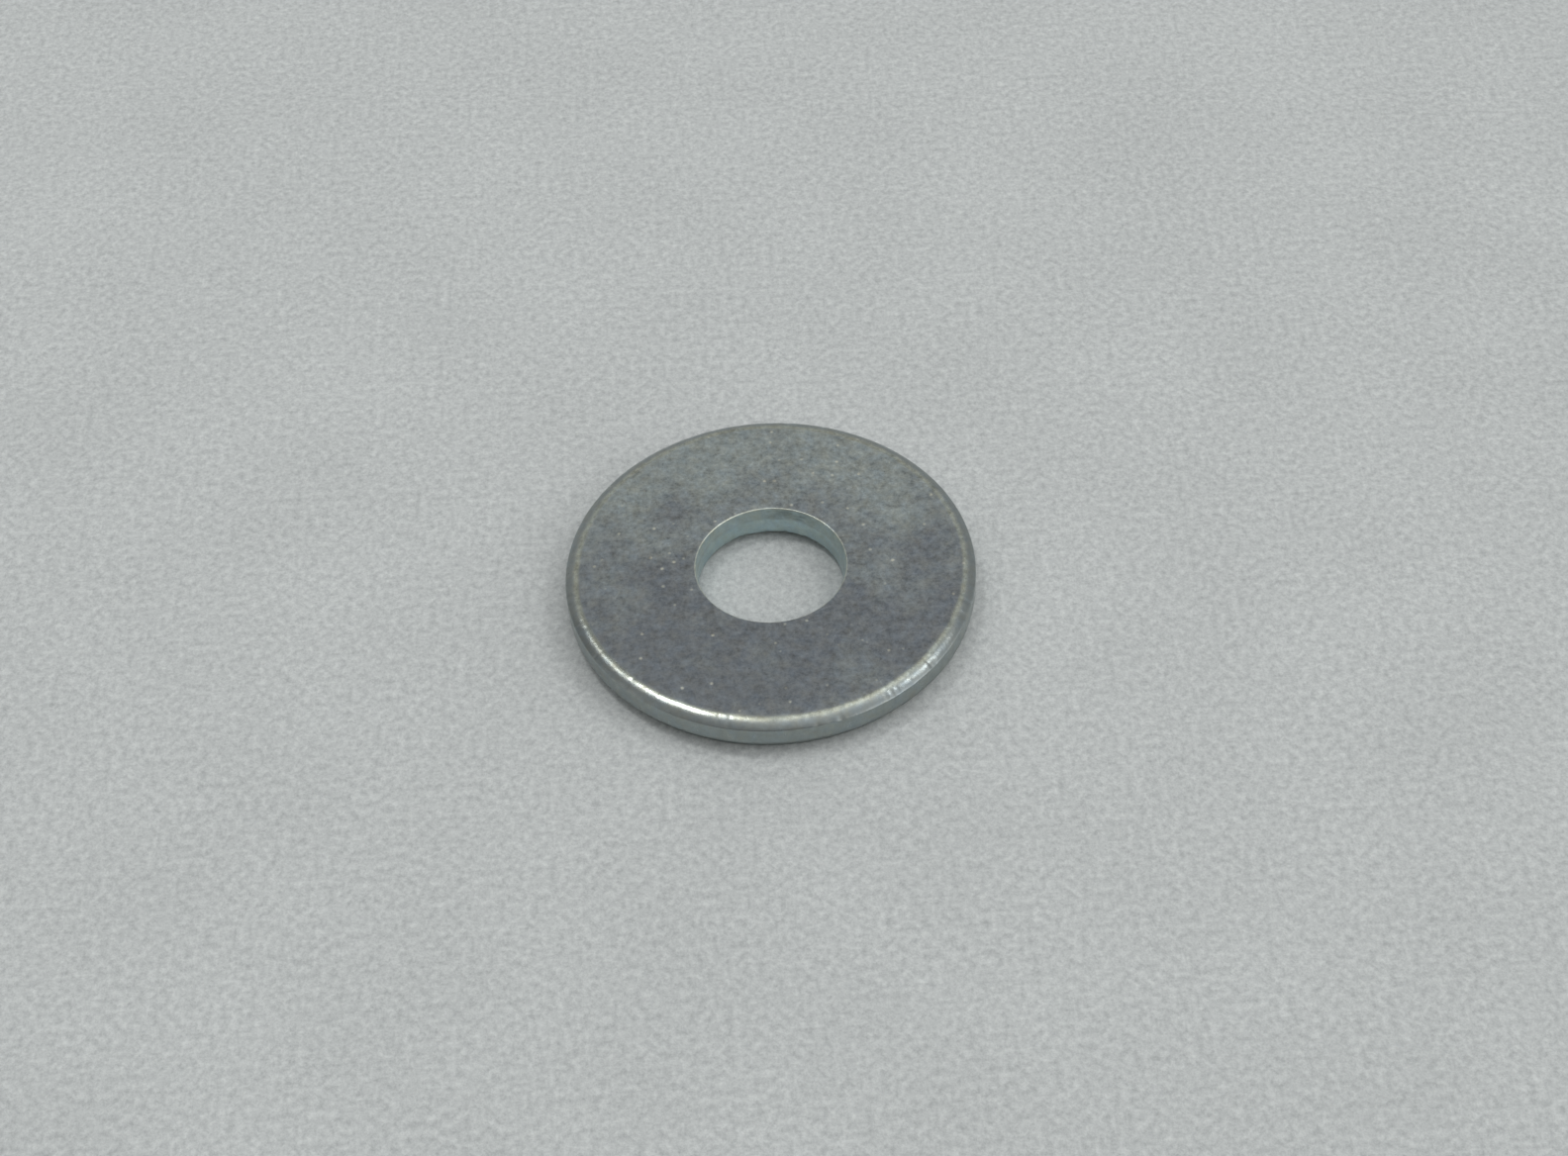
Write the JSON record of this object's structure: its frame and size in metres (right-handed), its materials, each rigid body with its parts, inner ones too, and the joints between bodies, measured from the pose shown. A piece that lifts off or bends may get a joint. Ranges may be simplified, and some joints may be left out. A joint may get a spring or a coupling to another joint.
{
  "type": "flat washer",
  "caption": "Wide flat ring of plated steel with a plain round bore, which spreads the load of a bolt head or nut over a larger area.",
  "frame": {"origin": "centre of the bottom face, on the bore's axis; the washer lies on the plane z = 0", "axes": "+Z along the bore's axis, out of the top face, the one whose outside edge carries the die roll; X and Y lie in the bottom face, and any pair will do, because the washer is round"},
  "size_m": [0.018, 0.018, 0.0017],
  "materials": {
    "zinc_plated_steel": "satin zinc plate with a pale blue-green passivate, tumbled before plating"
  },
  "bodies": {
    "root": {"washer": "zinc_plated_steel"}
  },
  "joints": []
}
